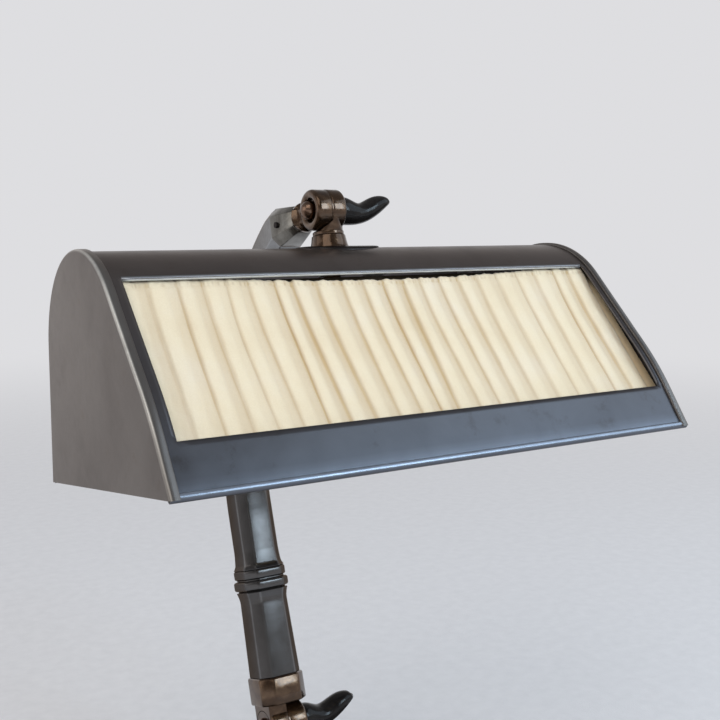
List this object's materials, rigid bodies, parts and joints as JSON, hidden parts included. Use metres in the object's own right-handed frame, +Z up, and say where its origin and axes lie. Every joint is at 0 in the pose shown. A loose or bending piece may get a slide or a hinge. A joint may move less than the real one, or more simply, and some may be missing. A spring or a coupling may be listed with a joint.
{
  "type": "piano lamp",
  "caption": "Adjustable piano lamp: metal trough shade with a pleated cloth window, on a leaning gooseneck stem with clamp joints over a heavy base.",
  "frame": {"origin": "centre of the base's underside, on the surface it stands on", "axes": "+X along the shade to the lever side, +Y to the back, towards the stem, +Z up"},
  "size_m": [0.3, 0.2435, 0.3875],
  "materials": {
    "shade_steel": "dark patinated steel, semi-gloss clear lacquer",
    "stem_steel": "dark burnished steel, semi-gloss",
    "joint_bronze": "brown patina with bright worn edges",
    "lever_black": "black, semi-gloss",
    "base_iron": "dark burnished",
    "weight_iron": "rough",
    "plain_steel": "plain",
    "black_trim": "black, satin",
    "frame_brass": "aged",
    "holder_brass": "aged",
    "insulator": "moulded",
    "key_black": "moulded",
    "pleat_fabric": "cream pleated cloth",
    "bulb_glass": "clear",
    "cap_alu": "plain",
    "felt": "pressed felt",
    "rubber": "matte"
  },
  "bodies": {
    "base": {"base_casting": "base_iron", "base_plate": "plain_steel", "base_plate_screws": "plain_steel", "base_felt": "felt", "base_weight": "weight_iron", "cord_inlet_bush": "rubber", "base_knuckle": "joint_bronze", "knuckle_washer": "plain_steel", "knuckle_nut": "plain_steel", "lower_clamp_bolt": "plain_steel", "lower_friction_washer": "frame_brass"},
    "lower_lever": {"lower_thumb_lever": "lever_black"},
    "stem": {"stem_foot": "joint_bronze", "lower_stem": "stem_steel", "stem_collar": "stem_steel", "gooseneck": "stem_steel", "stem_set_screws": "plain_steel", "arm_head": "joint_bronze", "upper_clamp_bolt": "joint_bronze", "upper_friction_washer": "frame_brass"},
    "upper_lever": {"upper_thumb_lever": "lever_black"},
    "neck": {"neck_head": "joint_bronze", "pivot_washer": "frame_brass", "pivot_nut": "plain_steel"},
    "shade": {"neck_foot": "joint_bronze", "rosette": "black_trim", "saddle_washer": "plain_steel", "ring_nut": "frame_brass", "shade_shell": "shade_steel", "end_cap_left": "shade_steel", "end_cap_right": "shade_steel", "window_frame": "frame_brass", "pleated_fabric": "pleat_fabric", "frame_clips": "plain_steel", "holder_bracket": "plain_steel", "holder_nipple": "plain_steel", "holder_nuts": "frame_brass", "holder_cap": "holder_brass", "holder_barrel": "holder_brass", "holder_core": "insulator", "screw_shell": "holder_brass", "centre_contact": "holder_brass", "bulb_cap": "cap_alu", "bulb_glass": "bulb_glass"},
    "switch": {"switch_key": "key_black"}
  },
  "joints": [
    {"name": "stem_tilt", "type": "hinge", "parent": "base", "child": "stem", "pos_m": [0, 0.0352, 0.054], "axis": [1, 0, 0], "range_deg": [-15, 20]},
    {"name": "shade_tilt", "type": "hinge", "parent": "stem", "child": "neck", "pos_m": [0.0055, -0.014, 0.376], "axis": [1, 0, 0], "range_deg": [-45, 12]},
    {"name": "shade_swivel", "type": "hinge", "parent": "neck", "child": "shade", "pos_m": [0.0055, -0.014, 0.376], "axis": [0, 0.164, 0.9865], "range_deg": [-30, 30]},
    {"name": "upper_lever_turn", "type": "hinge", "parent": "stem", "child": "upper_lever", "pos_m": [0.02, -0.014, 0.376], "axis": [1, 0, 0], "range_deg": [0, 120]},
    {"name": "lower_lever_turn", "type": "hinge", "parent": "base", "child": "lower_lever", "pos_m": [0.02, 0.0352, 0.054], "axis": [1, 0, 0], "range_deg": [0, 120]},
    {"name": "switch_turn", "type": "hinge", "parent": "shade", "child": "switch", "pos_m": [0.078, -0.02646, 0.30103], "axis": [0, 0.164, 0.9865], "range_deg": [0, 90]}
  ]
}
